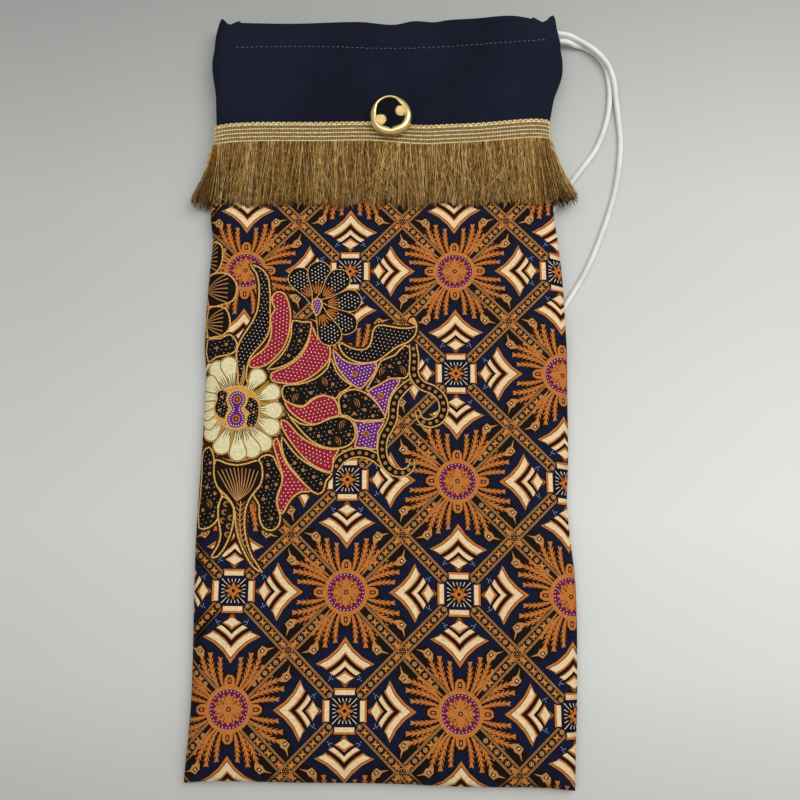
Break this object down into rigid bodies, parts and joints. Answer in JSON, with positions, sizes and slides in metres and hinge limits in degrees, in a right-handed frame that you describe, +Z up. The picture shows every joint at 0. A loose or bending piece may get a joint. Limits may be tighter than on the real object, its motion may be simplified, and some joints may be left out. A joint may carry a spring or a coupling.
{
  "type": "shofar bag",
  "caption": "Flat drawstring bag of batik-printed cotton with a plain navy band and casing, a metallic fringe round the band's lower edge, a shank button and a braided cord",
  "frame": {"origin": "middle of the bag's footprint, on the surface that it lies on", "axes": "+X to the right seen from the front, +Y from the closed bottom to the mouth, +Z up out of the front"},
  "size_m": [0.2598, 0.4475, 0.0205],
  "materials": {
    "batik_cotton": "fine plain-woven cotton with a batik print in navy, brown, orange and cream, with a magenta and black floral spray on the front",
    "navy_cloth": "plain dark navy twill, matt",
    "gold_tape": "woven metallic gold braid with raised cords and a picot edge",
    "gold_fringe": "cut metallic strands, antique gold, soft sheen",
    "button_gold": "polished gold-coloured metal rim, pebbled scrolls",
    "button_black": "glossy black enamel",
    "sewing_thread": "navy sewing thread",
    "white_braid": "round braided white polyester cord"
  },
  "bodies": {
    "root": {"front_panel": "batik_cotton", "back_panel": "batik_cotton", "band_front": "navy_cloth", "band_back": "navy_cloth", "fringe_header": "gold_tape", "fringe_skirt": "gold_fringe", "button_body": "button_gold", "button_inlay": "button_black", "button_thread": "sewing_thread", "drawstring_casing_run": "white_braid", "drawstring_loop": "white_braid"}
  },
  "joints": []
}
